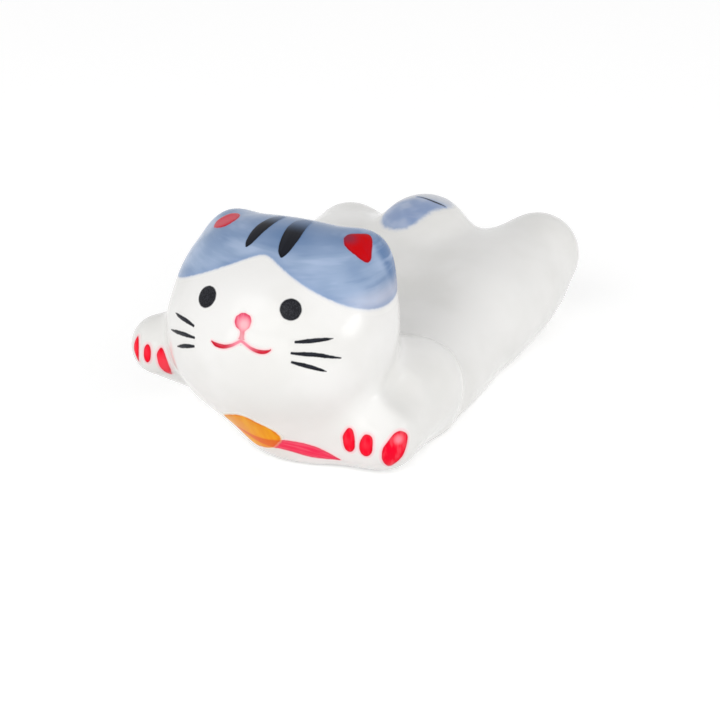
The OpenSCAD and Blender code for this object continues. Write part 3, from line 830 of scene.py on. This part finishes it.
@dataclass(frozen=True)
class Stroke:
    """One pull of the brush: a path on the glaze with a width that changes along it."""

    path: tuple[Point, ...]
    widths: tuple[float, ...]
    way: Point = (0, 1, 0)
    margin: float = 0.3
    rows: int = 60
    columns: int = 11
    lift: float = 3
    fine: int = 200
    even: float = 0.4
    blunt: float = 0.02

    def line(self, shape: CatShape) -> Array:
        """Points along the middle of the stroke, on the skin."""
        rough = curve(self.path, self.fine)
        return shape.seen_from(rough - np.array(self.way) * self.lift, self.way)

    def half(self, share: Array) -> Array:
        """Half width at shares of the length, which is 0 beyond the ends."""
        steps = np.linspace(0, 1, len(self.widths))
        smooth = curve(np.stack([steps, self.widths], 1), self.fine)
        wide = np.interp(share, smooth[:, 0], smooth[:, 1]) / 2
        return np.maximum(np.where((share < 0) | (share > 1), 0, wide), 0)

    def depth(self, shape: CatShape, places: Array) -> Array:
        """How far places are inside the stroke's edge, negative outside it."""
        line = self.line(shape)
        away = np.linalg.norm(places[:, None] - line, axis=2)
        return self.half(away.argmin(1) / (len(line) - 1)) - away.min(1)

    def sheet(self, shape: CatShape) -> Sheet:
        """Points of the stroke on the skin.

        Args:
            shape: Form that carries it.

        Returns:
            The sheet. Its along runs as the path does.
        """
        line = self.line(shape)
        start, end = unit(line[0] - line[1]), unit(line[-1] - line[-2])
        line = np.concatenate([line[:1] + start * self.margin, line,
                               line[-1:] + end * self.margin])
        run = run_along(line)
        even = np.linspace(0, 1, self.rows)
        at = (1 - np.cos(math.pi * even)) / 2
        at = ((1 - self.even) * at + self.even * even) * run[-1]
        path = np.stack([np.interp(at, run, line[:, a]) for a in range(3)], 1)
        path = settle(shape.skin, path)
        length = run[-1] - 2 * self.margin
        share = (at - self.margin) / length
        half = self.half(share)
        to_end = np.minimum(at, run[-1] - at) / self.margin
        round_end = np.sqrt(1 - (1 - np.minimum(to_end, 1)) ** 2)
        wide = half + self.margin * np.maximum(round_end, self.blunt)
        ahead = np.gradient(path, axis=0)
        side = unit(np.cross(shape.outward(path), ahead))
        s = np.linspace(-1, 1, self.columns)
        sideways = side[:, None] * (s[None, :, None] * wide[:, None, None])
        places = (path[:, None] + sideways).reshape(-1, 3)
        places = settle(shape.skin, places)
        painted = (share >= 0) & (share <= 1)
        border = [path[painted] + side[painted] * half[painted, None] * way for way in (1, -1)]
        fine = settle(shape.skin, np.concatenate(border))
        across = (s[None] * wide[:, None]).ravel()
        inside = np.abs(across) < np.repeat(half, self.columns)
        edge = from_line(places, fine) * np.where(inside, 1, -1)
        a = (np.arange(self.rows - 1)[:, None] * self.columns + np.arange(self.columns - 1)).ravel()
        faces = np.stack([a, a + 1, a + 1 + self.columns, a + self.columns], 1)
        return Sheet(places, faces, across, np.repeat(at - self.margin, self.columns), edge)


@dataclass(frozen=True)
class Cap:
    """Wash over the ears and the back of the head, as rings round the crown."""

    middle: Point = (0, -12, 13.4)
    front_rise: float = 68
    side_rise: float = 22
    back_rise: float = 28
    side_turn: float = 100
    power: float = 1.3
    head_r: float = 12
    margin: float = 0.7
    start: float = 20
    rings: int = 52
    spokes: int = 208
    hem_points: int = 720

    def hem(self, turn: Array) -> Array:
        """Angle of the painted edge above the middle of the head, at a turn from the front."""
        t = np.abs(turn)
        front = ((1 + np.cos(np.pi * np.minimum(t / self.side_turn, 1))) / 2) ** self.power
        back = (1 - np.cos(np.pi * np.maximum(t - self.side_turn, 0) / (180 - self.side_turn))) / 2
        return (self.side_rise + (self.front_rise - self.side_rise) * front
                + (self.back_rise - self.side_rise) * back)

    def points(self, shape: CatShape, turn: Array, rise: Array) -> Array:
        """Points of the skin in directions from the middle of the head."""
        t, r = np.radians(turn), np.radians(rise)
        way = np.stack([np.sin(t) * np.cos(r), -np.cos(t) * np.cos(r), np.sin(r)], 1)
        p = np.array(self.middle) + way * self.start
        return settle(shape.skin, reach(shape.skin, p, -way))

    def sheet(self, shape: CatShape) -> Sheet:
        """Points of the cap on the skin.

        Args:
            shape: Form that carries it.

        Returns:
            The sheet. Its along runs round the head, and its across towards the crown.
        """
        turn = np.arange(self.spokes) * 360 / self.spokes - 180
        margin_turn = math.degrees(self.margin / self.head_r)
        shares = np.linspace(0, 1, self.rings + 1)[1:]
        full = 90 - (self.hem(turn) - margin_turn)
        turns = np.concatenate([[0], np.tile(turn, self.rings)])
        rises = np.concatenate([[90], *(90 - full * s for s in shares)])
        places = self.points(shape, turns, rises)
        fine = np.linspace(-180, 180, self.hem_points)
        border = self.points(shape, fine, self.hem(fine))
        edge = from_line(places, border) * np.where(rises > self.hem(turns), 1, -1)
        return Sheet(places, ring_faces(self.rings, self.spokes), edge,
                     np.radians(turns) * self.head_r, edge)


class Coating:
    """Turns sheets into closed coats of enamel with a Geometry Nodes tree.

    A coat has a thin brim, and swells between two distances inside its stroke's edge. Its
    underside lies a little way into the glaze, as enamel that has melted into it does.
    """

    brim = 0.014
    swell = (-0.1, 0.25)
    bed = 0.03
    weld = 0.0005
    steep = 0.5

    def __init__(self, shape: CatShape) -> None:
        """Build the tree that gives a sheet its thickness.

        Args:
            shape: Form that carries the coats.
        """
        self.shape = shape
        self.group = bpy.data.node_groups.new("coat_of_enamel", "GeometryNodeTree")
        _, self.bed_id, self.material_id, _ = (
            self.group.interface.new_socket(name, in_out=way, socket_type=kind).identifier
            for name, way, kind in (("Geometry", "INPUT", "NodeSocketGeometry"),
                                    ("Bed depth", "INPUT", "NodeSocketFloat"),
                                    ("Finish", "INPUT", "NodeSocketMaterial"),
                                    ("Geometry", "OUTPUT", "NodeSocketGeometry")))
        self.wire()

    def wire(self) -> None:
        """Place and link the tree's nodes."""
        tree = Tree(self.group)
        given = tree.add("NodeGroupInput").outputs
        out, rise = (tree.out("GeometryNodeInputNamedAttribute", {"Name": name}, data_type=kind)
                     for name, kind in ((OUTWARD, "FLOAT_VECTOR"), (RISE, "FLOAT")))
        low = tree.vector_maths("SCALE", {0: out, 3: tree.maths("MULTIPLY", given[1], -1)})
        sheet = tree.out("GeometryNodeSetPosition", {"Geometry": given[0], "Offset": low})
        pulled = tree.add("GeometryNodeExtrudeMesh",
                          {"Mesh": sheet, "Offset Scale": 0.0, "Individual": False},
                          mode="FACES").outputs
        high = tree.vector_maths("SCALE", {0: out, 3: tree.maths("ADD", rise, given[1])})
        top = tree.out("GeometryNodeSetPosition",
                       {"Geometry": pulled["Mesh"], "Selection": pulled["Top"],
                        "Offset": high})
        under = tree.out("GeometryNodeFlipFaces", {"Mesh": sheet})
        both = tree.add("GeometryNodeJoinGeometry")
        tree.links.new(top, both.inputs[0])
        tree.links.new(under, both.inputs[0])
        shell = tree.out("GeometryNodeMergeByDistance",
                         {"Geometry": both.outputs[0], "Distance": self.weld * MM})
        real = tree.out("GeometryNodeRealizeInstances", {"Geometry": shell})
        done = tree.out("GeometryNodeSetMaterial", {"Geometry": real, "Material": given[2]})
        tree.add("NodeGroupOutput", {0: done})

    def coat(self, name: str, sheet: Sheet, finish: bpy.types.Material, thickness: float,
             under: float = 0) -> bpy.types.Object:
        """Make one closed coat of enamel.

        Args:
            name: Name of the piece.
            sheet: Where it lies.
            finish: Its material.
            thickness: Height over the glaze in its middle.
            under: Height of the coat that it is painted over.

        Returns:
            The piece, with a plain mesh.
        """
        low, high = self.swell
        swell = np.clip((sheet.edge - low) / (high - low), 0, 1)
        swell = swell * swell * (3 - 2 * swell)
        height = self.brim + under + (thickness - self.brim) * swell
        piece = new_mesh(name, sheet.places, sheet.faces)
        store(piece, OUTWARD, self.shape.outward(sheet.places))
        store(piece, RISE, height * MM)
        store(piece, BRUSH, np.stack([sheet.across, sheet.along, sheet.edge], 1))
        if sheet.under is not None:
            store(piece, UNDER, sheet.under)
        piece.data.materials.append(finish)
        modifier = piece.modifiers.new("coat", "NODES")
        modifier.node_group = self.group
        modifier[self.bed_id] = self.bed * MM
        modifier[self.material_id] = finish
        bpy.context.view_layer.update()
        ready = piece.evaluated_get(bpy.context.evaluated_depsgraph_get())
        mesh = bpy.data.meshes.new_from_object(ready)
        piece.modifiers.clear()
        piece.data = mesh
        mesh.name = name
        self.sharpen(mesh)
        return piece

    def sharpen(self, mesh: bpy.types.Mesh) -> None:
        """Keep the side walls of a coat out of the shading of its top, and face it outwards."""
        work = bmesh.new()
        work.from_mesh(mesh)
        bmesh.ops.recalc_face_normals(work, faces=work.faces)
        out = work.verts.layers.float_vector[OUTWARD]
        for face in work.faces:
            face.smooth = True
        for edge in work.edges:
            walls = {abs(f.normal.dot(edge.verts[0][out])) < self.steep for f in edge.link_faces}
            edge.smooth = len(walls) == 1
        work.to_mesh(mesh)
        work.free()
        for name in (OUTWARD, RISE):
            mesh.attributes.remove(mesh.attributes[name])


@dataclass
class Casting:
    """The porcelain body: one hollow piece with its vent and its ground base."""

    shape: CatShape
    low: Point = (-19, -25, -1)
    high: Point = (20, 40, 27)
    step: float = 0.4
    evenings: int = 4
    bare_z: float = 0.12

    def make(self) -> None:
        """Build the body's mesh and give it its finish."""
        points, squares = net(self.shape.solid, self.low, self.high, self.step)
        points = relax(self.shape.solid, points, squares, self.evenings)
        piece = new_mesh("porcelain_casting", points, squares)
        inside = self.shape.skin(points) < -self.shape.base_rounding
        low = np.clip(1 - points[:, 2] / self.bare_z, 0, 1)
        store(piece, BARE, np.where(inside, 1.0, low))
        piece.data.materials.append(Porcelain().make())
        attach(piece, BODY)
        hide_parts("porcelain_body")
        LOG.info("%s: %d points", piece.name, len(points))


@dataclass(frozen=True)
class Mark:
    """One coat on the cat, which stands for a CAD node.

    It may lie over another coat, and the stroke beneath it may show through.
    """

    node: str
    brush: Dab | Stroke | Cap
    finish: Enamel
    over: bool = False
    beneath: Stroke | None = None


WHISKERS = [
    Mark(f"{side}_whisker_{row}",
         Stroke(tuple((x, FRONT, z) for x, z in places), (0.2, 0.42, 0.44, 0.36, 0.1), margin=0.2,
                rows=50, columns=9), LINE_BLACK)
    for side, row, *places in (
        ("left", "upper", (5.68, 16.67), (7.4, 16.75), (9.03, 16.76)),
        ("left", "middle", (5.45, 15.59), (7.73, 15.33), (9.85, 14.67)),
        ("left", "lower", (5.55, 14.68), (7.13, 14.18), (8.76, 13.44)),
        ("right", "upper", (-5.6, 16.46), (-6.91, 16.57), (-9, 16.51)),
        ("right", "middle", (-5.36, 15.38), (-7.45, 15.09), (-9.5, 14.57)),
        ("right", "lower", (-5.35, 14.49), (-6.74, 14.01), (-8.14, 13.39)))]
COLLAR = Stroke(
    tuple((x, FRONT, z) for x, z in (
        (-2.2, 4.4), (-0.5, 3.5), (0.9, 3.15), (2.3, 3.2), (3.3, 3.17), (4.4, 3), (5.4, 2.68),
        (6.5, 2.26), (7.5, 1.9), (8.5, 1.58))),
    (0.7, 0.9, 1.3, 1.6, 1.75, 1.9, 2, 2, 1.7, 1.1, 0.2), rows=90, columns=15)
MARKS = (
    # The cap, its stripes and the insides of the ears
    Mark("grey_cap", Cap(), CAP_WASH),
    Mark("right_stripe", Stroke(
        ((-2.45, -15.35, 23.6), (-2.3, -13.6, 24.3), (-2.1, -12.2, 24.7), (-1.8, -10.6, 24.9),
         (-1.5, -8.6, 24.8)),
        (0.15, 0.75, 1, 1.18, 1.3, 1.38, 1.42, 1.4, 1.35, 1.28, 1.2, 1.05, 0.9),
        way=(0, 0.3, -1), margin=0.15), STRIPE_BLACK, over=True),
    Mark("left_stripe", Stroke(
        ((1.85, -16, 23.35), (1.7, -14.7, 23.97), (1.6, -13, 24.58), (1.45, -11.2, 24.9),
         (1.4, -8.6, 24.8)),
        (0.15, 0.95, 1.35, 1.6, 1.78, 1.88, 1.94, 1.94, 1.9, 1.82, 1.7, 1.5, 1.2),
        way=(0, 0.3, -1), margin=0.15), STRIPE_BLACK, over=True),
    Mark("left_ear_inside", Dab(
        (8.17, -10.8, 23.7),
        ((-1.1, 1.11), (-0.28, 1.82), (0.47, 1.95), (1.36, 1.65), (2.35, 1.1), (2.09, 0.2),
         (1.33, -0.84), (0.57, -1.79), (-0.16, -1.87), (-0.64, -1.36), (-1.04, -0.6),
         (-1.32, 0.29)), margin=0.2), EAR_RED, over=True),
    Mark("right_ear_inside", Dab(
        (-7.1, -10.6, 24.2),
        ((0.24, -1.43), (-0.9, -1.06), (-1.25, -0.25), (-1.36, 0.61), (-1, 1.31), (-0.1, 1.5),
         (0.7, 1.25), (1.43, 0.56), (1.65, -0.31), (1.05, -1.09)), margin=0.2),
        EAR_ROSE, over=True),
    # The eyes, the nose, the mouth and the whiskers
    Mark("left_eye", Dab(
        (4.7, -19.85, 19.7),
        ((1.14, -0.07), (0.81, 0.76), (0.01, 1.1), (-0.79, 0.75), (-1.12, -0.07),
         (-0.78, -0.89), (0.02, -1.23), (0.81, -0.89)), margin=0.3), EYE_BLACK),
    Mark("right_eye", Dab(
        (-4.65, -19.85, 19.7),
        ((1.11, 0.08), (0.44, 0.77), (-0.52, 0.84), (-1.19, 0.25), (-1.17, -0.65),
         (-0.51, -1.34), (0.42, -1.41), (1.1, -0.82)), margin=0.3), EYE_BLACK),
    Mark("nose", Stroke(
        ((0.02, -21.2, 19), (0.2, -21.7, 18.2), (0.33, -22.04, 17.4), (0.34, -22.4, 16.45)),
        (0.25, 1.4, 1.75, 1.85, 1.7, 1.35, 0.6, 0.5, 0.55, 0.8), margin=0.4), NOSE_PINK),
    Mark("mouth", Stroke(
        ((-3.17, -22.3, 15.7), (-2.53, -22.5, 15.46), (-1.6, -22.6, 15.46),
         (-0.71, -22.6, 15.75), (-0.09, -22.5, 16.13), (0.31, -22.5, 16.36),
         (0.76, -22.5, 16.18), (1.43, -22.5, 15.81), (2.16, -22.5, 15.58),
         (2.86, -22.4, 15.56), (3.34, -22.2, 15.71), (3.55, -22.1, 15.88)),
        (0.12, 0.42, 0.48, 0.42, 0.34, 0.3, 0.3, 0.3, 0.32, 0.38, 0.44, 0.36, 0.1), rows=90),
        MOUTH_RED),
    *WHISKERS,
    # The toes
    Mark("left_toe_inner", Dab(
        (9.75, -16.9, 4.4),
        ((0.13, 1.63), (-0.43, 0.75), (-0.46, -0.07), (-0.28, -1.01), (0.25, -1.25),
         (0.84, -0.59), (0.87, 0.66), (0.61, 1.45))), TOE_RED),
    Mark("left_toe_middle", Dab(
        (11.9, -17, 4.3),
        ((-0.14, 1.29), (-0.63, 0.54), (-0.78, -0.26), (-0.56, -1.06), (0.06, -1.26),
         (0.62, -0.6), (0.72, 0.41), (0.58, 1.11))), TOE_RED),
    # Its pale spot at the upper end is a painted highlight
    Mark("left_toe_outer", Dab(
        (14.7, -16, 4.1),
        ((0.81, 1.78), (0.02, 1.64), (-0.65, 0.94), (-1.22, 0.01), (-1.16, -1.34),
         (-0.38, -2.39), (0.35, -1.9), (0.99, -1.03), (1.39, 0.26), (1.49, 1.24))), OUTER_TOE_RED_HIGHLIT),
    Mark("right_toe_outer", Dab(
        (-15.3, -16.1, 10.1),
        ((-0.18, 1.37), (-0.45, 0.48), (-0.41, -0.16), (-0.08, -0.82), (0.2, -1.42),
         (0.52, -0.27), (0.34, 0.75))), TOE_RED),
    Mark("right_toe_middle", Dab(
        (-13.8, -16.6, 10),
        ((0.5, 0.13), (0.34, 0.82), (-0.01, 1.03), (-0.3, 0.7), (-0.39, -0.04), (-0.3, -0.8),
         (-0.01, -1.07), (0.36, -0.66))), TOE_RED),
    Mark("right_toe_inner", Dab(
        (-12, -16.4, 9.3),
        ((-0.13, 1.63), (-0.6, 0.97), (-0.62, 0.19), (-0.48, -0.73), (-0.11, -1.83),
         (0.24, -2.7), (0.63, -1.15), (0.54, 0.29), (0.24, 1.39))), CORAL_RED),
    # The collar, and the bell over it
    Mark("collar", COLLAR, COLLAR_RED),
    Mark("bell", Dab(
        (0.1, -19, 4.7),
        ((-3.25, 1.6), (-1.3, 2.93), (0.05, 2.85), (1.05, 1.92), (2.18, 0.76), (2.8, -0.59),
         (2.2, -1.68), (1.17, -2.78), (-0.28, -3.4), (-1.16, -3.64), (-1.9, -2.9),
         (-2.6, -1.2), (-3.15, 0.25)), margin=0.3, rings=20, spokes=64), BELL_AMBER,
        over=True, beneath=COLLAR),
    # The patch on the tail, and the stripe over it
    Mark("tail_patch", Dab(
        (0.2, 25.6, 14.6),
        ((-3.87, -2.62), (-2.7, -3.63), (-1.56, -3.88), (-0.68, -3.67), (0.11, -3.03),
         (0.84, -2.04), (1.54, -0.94), (2.55, 0.42), (3.3, 2.2), (2.9, 3.9), (1.2, 4.8),
         (-1.2, 4.6), (-3, 3.3), (-4.1, 1.4), (-4.4, -0.8)),
        margin=0.6, rings=24, spokes=72), TAIL_WASH),
    Mark("tail_stripe", Stroke(
        ((-0.9, 27.3, 14.85), (0.2, 27, 14.9), (1.1, 26.85, 14.77), (1.9, 26.9, 14.5),
         (2.75, 27.15, 14.1)),
        (0.1, 0.2, 0.26, 0.28, 0.1), way=(0, 0, -1), margin=0.2), TAIL_BLACK, over=True),
)


@dataclass
class Painting:
    """All brush strokes on the cat."""

    coating: Coating
    coat: float = 0.06
    over: float = 0.05
    finishes: dict[str, bpy.types.Material] = field(default_factory=dict)

    def put(self, mark: Mark) -> None:
        """Make the coat of one mark."""
        finish = mark.finish
        if finish.name not in self.finishes:
            self.finishes[finish.name] = finish.make()
        shape = self.coating.shape
        sheet = mark.brush.sheet(shape)
        if mark.beneath:
            sheet.under = mark.beneath.depth(shape, sheet.places)
        piece = self.coating.coat(mark.node + "_paint", sheet, self.finishes[finish.name],
                                  self.coat, self.over if mark.over else 0)
        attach(piece, BODY)
        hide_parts(mark.node)
        LOG.info("%s: %d points", piece.name, len(piece.data.vertices))

    def make(self) -> None:
        """Paint the whole cat."""
        for mark in MARKS:
            self.put(mark)


class Lamp(Enum):
    """Soft boxes, as turn from the front, height in degrees, width, height and radiance."""

    SIDE = (85, 18, 0.18, 0.1, 3.4)
    SIDE_GLOW = (85, 18, 0.32, 0.2, 0.55)
    SOFT = (44, 42, 0.5, 0.4, 0.55)
    TOP = (-14, 40, 0.4, 0.3, 1.15)
    FILL = (-8, 2, 0.5, 0.3, 1.15)


@dataclass
class Studio:
    """Plain pale floor, soft white light and the camera."""

    target: Point = (0, 0, 10)
    turn: float = 24.28
    rise: float = 23.23
    away: float = 300
    lens: float = 136.5
    sensor: float = 36
    # The nearest and furthest that the camera sees, in metres
    sight: Place = (0.01, 20)
    shift: Place = (0.0434, -0.0574)
    lamp_away: float = 0.5
    horizon: float = 1.35
    zenith: float = 0.15
    # The floor lies just under the base, so that the two never share a plane
    floor_half: float = 1500
    floor_z: float = -0.02
    floor_tone: str = "EEEEEE"
    floor_glow: float = 0.4

    def place(self, turn: float, rise: float, away: float) -> Array:
        """Point at a turn from the cat's front, a height in degrees and a distance."""
        t, r = math.radians(turn), math.radians(rise)
        way = np.array([math.sin(t) * math.cos(r), -math.cos(t) * math.cos(r), math.sin(r)])
        return np.array(self.target) * MM + way * away

    def aim(self, obj: bpy.types.Object, at: Array) -> None:
        """Put an object at a point and turn it towards the cat."""
        obj.location = at
        way = np.array(self.target) * MM - at
        obj.rotation_euler = (math.atan2(math.hypot(way[0], way[1]), -way[2]), 0,
                              math.atan2(way[1], way[0]) - math.pi / 2)
        bpy.context.scene.collection.objects.link(obj)

    def camera(self) -> None:
        """Add the camera."""
        data = bpy.data.cameras.new("camera")
        data.lens = self.lens
        data.sensor_width = self.sensor
        data.shift_x, data.shift_y = self.shift
        data.clip_start, data.clip_end = self.sight
        camera = bpy.data.objects.new("camera", data)
        self.aim(camera, self.place(self.turn, self.rise, self.away * MM))
        bpy.context.scene.camera = camera

    def lamps(self) -> None:
        """Add the soft boxes and the white surroundings."""
        for lamp in Lamp:
            turn, rise, width, height, radiance = lamp.value
            data = bpy.data.lights.new(f"lamp_{lamp.name.lower()}", "AREA")
            data.shape = "RECTANGLE"
            data.size, data.size_y = width, height
            data.energy = radiance * math.pi * width * height
            self.aim(bpy.data.objects.new(data.name, data), self.place(turn, rise, self.lamp_away))
        world = bpy.data.worlds.new("surroundings")
        bpy.context.scene.world = world
        world.use_nodes = True
        tree = Tree(world.node_tree)
        seen = self.background_ray(tree)
        way = tree.add("ShaderNodeTexCoord").outputs["Generated"]
        height = tree.add("ShaderNodeSeparateXYZ", {0: way}).outputs[2]
        strength = tree.out("ShaderNodeMapRange", {"Value": height, "To Min": self.horizon,
                                                   "To Max": self.zenith})
        light = tree.out("ShaderNodeBackground", {"Color": WHITE, "Strength": strength})
        white = tree.out("ShaderNodeBackground", {"Color": WHITE, "Strength": 1.0})
        tree.add("ShaderNodeOutputWorld", {"Surface": tree.blend(seen, light, white)})

    def background_ray(self, tree: Tree) -> Socket:
        """1 where the camera sees the background, also in a reflection or through glass."""
        path = tree.add("ShaderNodeLightPath").outputs
        either = tree.maths("MAXIMUM", path["Is Camera Ray"], path["Is Glossy Ray"])
        return tree.maths("MAXIMUM", either, path["Is Transmission Ray"])

    def floor(self) -> None:
        """Add the table top, which shows the cat's soft shadow."""
        corners = [(x * self.floor_half, y * self.floor_half, self.floor_z)
                   for x, y in ((-1, -1), (1, -1), (1, 1), (-1, 1))]
        piece = new_mesh("table_top", np.array(corners), np.array([[0, 1, 2, 3]]))
        material, tree = blank("pale_table")
        seen = self.background_ray(tree)
        matt = tree.out("ShaderNodeBsdfDiffuse", {"Color": linear(self.floor_tone)})
        glow = tree.out("ShaderNodeEmission", {"Color": WHITE, "Strength": self.floor_glow})
        lit = tree.out("ShaderNodeAddShader", {0: matt, 1: glow})
        tree.add("ShaderNodeOutputMaterial", {"Surface": tree.blend(seen, matt, lit)})
        piece.data.materials.append(material)

    def make(self) -> None:
        """Build the studio."""
        bpy.context.scene.view_settings.view_transform = "Standard"
        self.camera()
        self.lamps()
        self.floor()


def main() -> None:
    """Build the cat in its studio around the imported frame."""
    logging.basicConfig(level=logging.INFO, format="%(name)s: %(message)s")
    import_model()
    Studio().make()
    shape = CatShape()
    Casting(shape).make()
    Painting(Coating(shape)).make()


if __name__ == "__main__":
    main()
